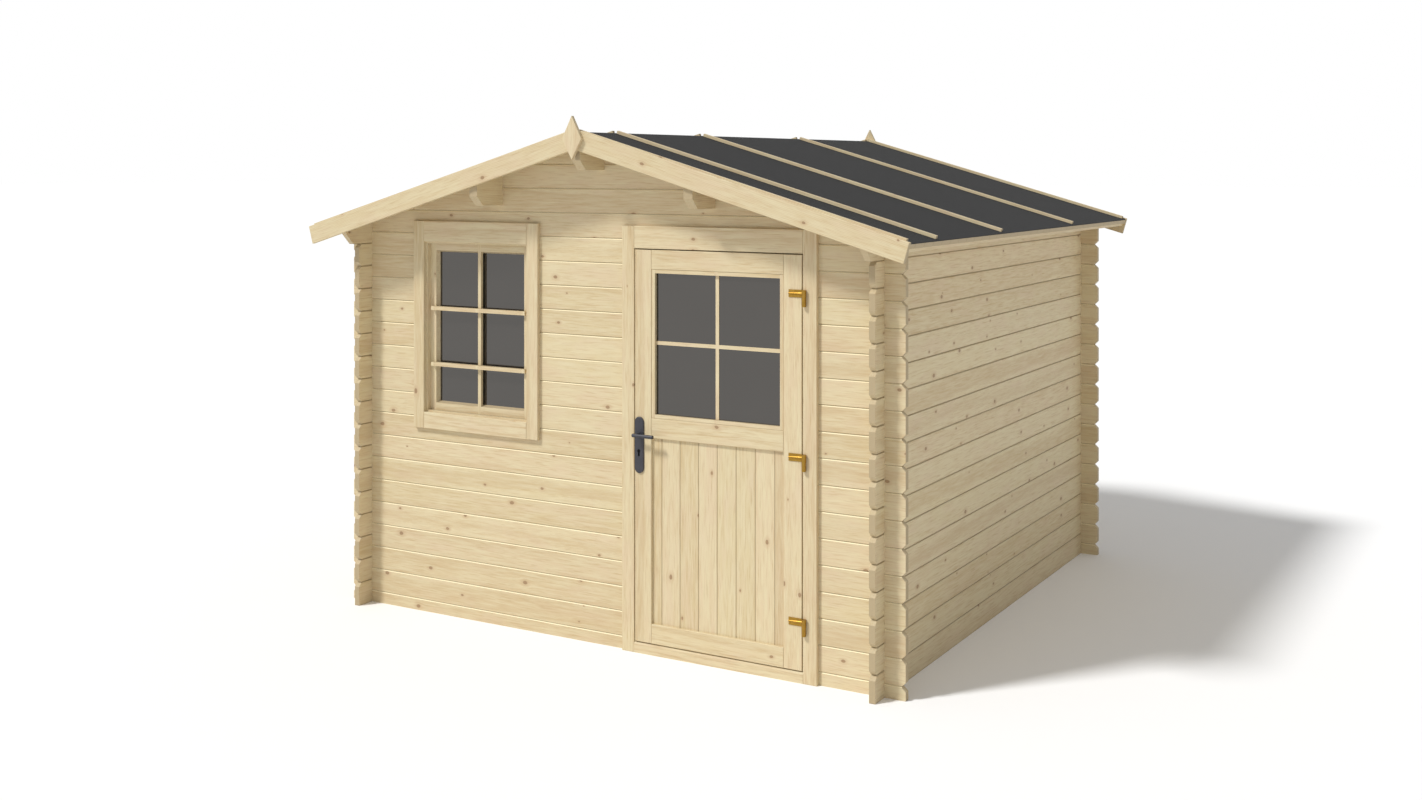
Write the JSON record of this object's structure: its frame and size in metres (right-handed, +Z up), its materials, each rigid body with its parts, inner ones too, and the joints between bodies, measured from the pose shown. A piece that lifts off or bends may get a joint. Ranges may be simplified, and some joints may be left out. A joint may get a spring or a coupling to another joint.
{
  "type": "garden shed",
  "caption": "Log-built garden shed with interlocking corners, a low felted gable roof, a barred front window and a hinged half-glazed door with a sprung lever handle.",
  "frame": {"origin": "on the ground, in the middle of the shed's outline", "axes": "+Z up, -Y towards the front with the window and the door, +X to the right when facing the front"},
  "size_m": [3.2626, 3.262, 2.4426],
  "materials": {
    "log_wood": "untreated planed spruce logs",
    "trim_wood": "untreated planed spruce boards",
    "door_wood": "untreated planed spruce joinery",
    "roof_timber": "untreated planed spruce roof timber",
    "felt": "fine mineral-faced roofing felt",
    "dark_glass": "flat glass, dark against an unlit room",
    "hinge_brass": "yellow plated steel",
    "dark_metal": "satin anthracite"
  },
  "bodies": {
    "building": {"front_wall_base": "log_wood", "front_wall_left": "log_wood", "front_wall_middle": "log_wood", "front_wall_right": "log_wood", "front_gable": "log_wood", "rear_wall": "log_wood", "rear_gable": "log_wood", "left_wall": "log_wood", "right_wall": "log_wood", "wall_plates": "log_wood", "ridge_purlin": "roof_timber", "side_purlins": "roof_timber", "left_roof_boards": "roof_timber", "right_roof_boards": "roof_timber", "eave_strips": "roof_timber", "roofing_felt": "felt", "left_battens": "roof_timber", "right_battens": "roof_timber", "front_left_bargeboard": "trim_wood", "front_right_bargeboard": "trim_wood", "rear_left_bargeboard": "trim_wood", "rear_right_bargeboard": "trim_wood", "finials": "trim_wood", "window_frame": "trim_wood", "window_sash": "trim_wood", "window_glass": "dark_glass", "window_side_trims": "trim_wood", "window_cross_trims": "trim_wood", "door_posts": "trim_wood", "door_head": "trim_wood", "door_threshold": "trim_wood", "door_side_trims": "trim_wood", "door_head_trim": "trim_wood", "frame_hinges": "hinge_brass", "floor_joists": "roof_timber", "floor_boards": "roof_timber"},
    "door": {"door_stiles": "door_wood", "door_rails": "door_wood", "door_panel": "door_wood", "door_glass": "dark_glass", "door_glazing_bars": "door_wood", "door_hinges": "hinge_brass", "handle_plates": "dark_metal"},
    "lever": {"lever_handles": "dark_metal"}
  },
  "joints": [
    {"name": "door_hinge", "type": "hinge", "parent": "building", "child": "door", "pos_m": [1.0695, -1.4303, 0.94], "axis": [0, 0, 1], "range_deg": [0, 150]},
    {"name": "lever_turn", "type": "hinge", "parent": "door", "child": "lever", "pos_m": [0.23, -1.399, 0.996], "axis": [0, 1, 0], "range_deg": [0, 40], "stiffness_Nm_per_rad": 1, "springref_deg": -28.65}
  ]
}
